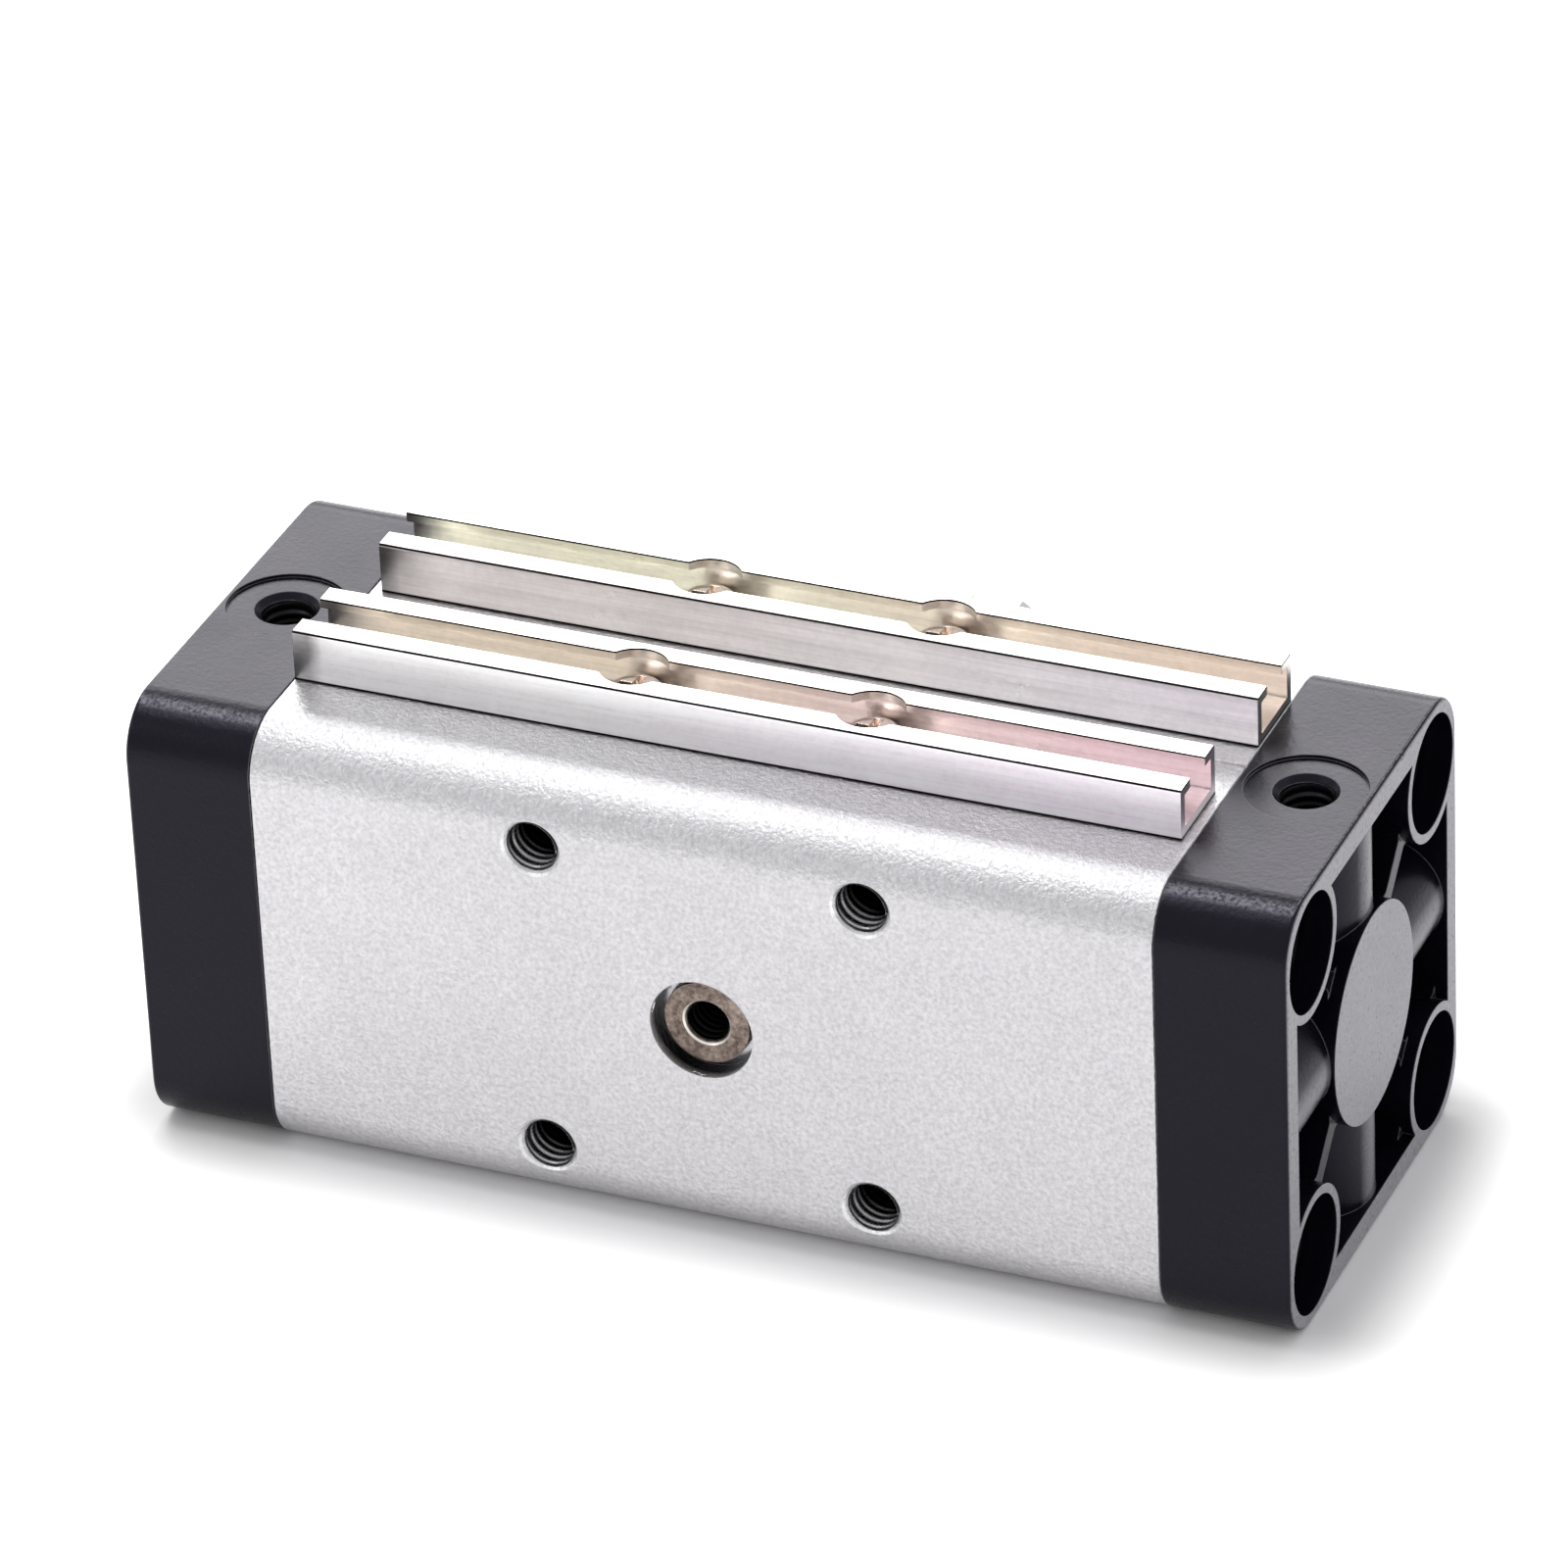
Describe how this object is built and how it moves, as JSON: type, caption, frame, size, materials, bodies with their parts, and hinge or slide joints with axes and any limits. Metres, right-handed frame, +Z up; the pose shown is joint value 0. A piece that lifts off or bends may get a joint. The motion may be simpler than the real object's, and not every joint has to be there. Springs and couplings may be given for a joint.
{
  "type": "pneumatic rotary actuator",
  "caption": "Square-bodied rack-and-pinion rotary actuator with a plain output shaft, cored end covers and switch rails.",
  "frame": {"origin": "middle of the bottom face, under the axis of the output shaft", "axes": "+X along the body to the right-hand cover, +Y the way the output shaft points, +Z up to the ports and switch rails"},
  "size_m": [0.095, 0.063, 0.0423],
  "materials": {
    "anodised_body": "bead-blasted, clear anodised",
    "black_cover": "die-cast aluminium, satin black paint",
    "rail_aluminium": "extruded, clear anodised",
    "nickel_screw": "nickel plated",
    "black_screw": "black oxide",
    "bearing_plastic": "natural acetal",
    "gear_steel": "machined and hardened",
    "shaft_steel": "ground, browned by heat treatment",
    "piston_aluminium": "turned",
    "magnet": "bonded ferrite",
    "black_rubber": "nitrile rubber",
    "bearing_steel": "polished bearing steel",
    "cage_brass": "pressed"
  },
  "bodies": {
    "housing": {"body_block": "anodised_body", "bearing_retainer": "anodised_body", "retainer_screws": "black_screw", "rack_slider": "bearing_plastic", "blank_side_rail": "rail_aluminium", "shaft_side_rail": "rail_aluminium", "blank_side_rail_screws": "nickel_screw", "shaft_side_rail_screws": "nickel_screw", "left_cover": "black_cover", "left_cover_gasket": "black_rubber", "left_bumper": "black_rubber", "left_cover_screws": "black_screw", "right_cover": "black_cover", "right_cover_gasket": "black_rubber", "right_bumper": "black_rubber", "right_cover_screws": "black_screw", "shaft_side_outer_race": "bearing_steel", "blank_side_outer_race": "bearing_steel"},
    "output": {"pinion_shaft": "shaft_steel", "shaft_side_inner_race": "bearing_steel", "blank_side_inner_race": "bearing_steel"},
    "piston_rack": {"rack": "gear_steel", "left_piston": "piston_aluminium", "left_link_screw": "black_screw", "left_magnet_ring": "magnet", "left_wear_ring": "bearing_plastic", "left_piston_seal": "black_rubber", "right_piston": "piston_aluminium", "right_link_screw": "black_screw", "right_magnet_ring": "magnet", "right_wear_ring": "bearing_plastic", "right_piston_seal": "black_rubber"},
    "shaft_side_ball_set": {"shaft_side_ball_cage": "cage_brass", "shaft_side_balls": "bearing_steel"},
    "blank_side_ball_set": {"blank_side_ball_cage": "cage_brass", "blank_side_balls": "bearing_steel"}
  },
  "joints": [
    {"name": "rack_slide", "type": "slide", "parent": "housing", "child": "piston_rack", "axis": [1, 0, 0], "range_m": [-0.00942, 0.00942]},
    {"name": "shaft_turn", "type": "hinge", "parent": "housing", "child": "output", "pos_m": [0, 0, 0.019], "axis": [0, 1, 0], "range_deg": [-90, 90]},
    {"name": "shaft_side_balls_turn", "type": "hinge", "parent": "housing", "child": "shaft_side_ball_set", "pos_m": [0, 0, 0.019], "axis": [0, 1, 0], "range_deg": [-36.2, 36.2]},
    {"name": "blank_side_balls_turn", "type": "hinge", "parent": "housing", "child": "blank_side_ball_set", "pos_m": [0, 0, 0.019], "axis": [0, 1, 0], "range_deg": [-36.2, 36.2]}
  ],
  "couplings": [
    {"joint": "shaft_turn", "follows": "rack_slide", "rad_per_m": -166.67},
    {"joint": "shaft_side_balls_turn", "follows": "rack_slide", "rad_per_m": -66.667},
    {"joint": "blank_side_balls_turn", "follows": "rack_slide", "rad_per_m": -66.667}
  ]
}
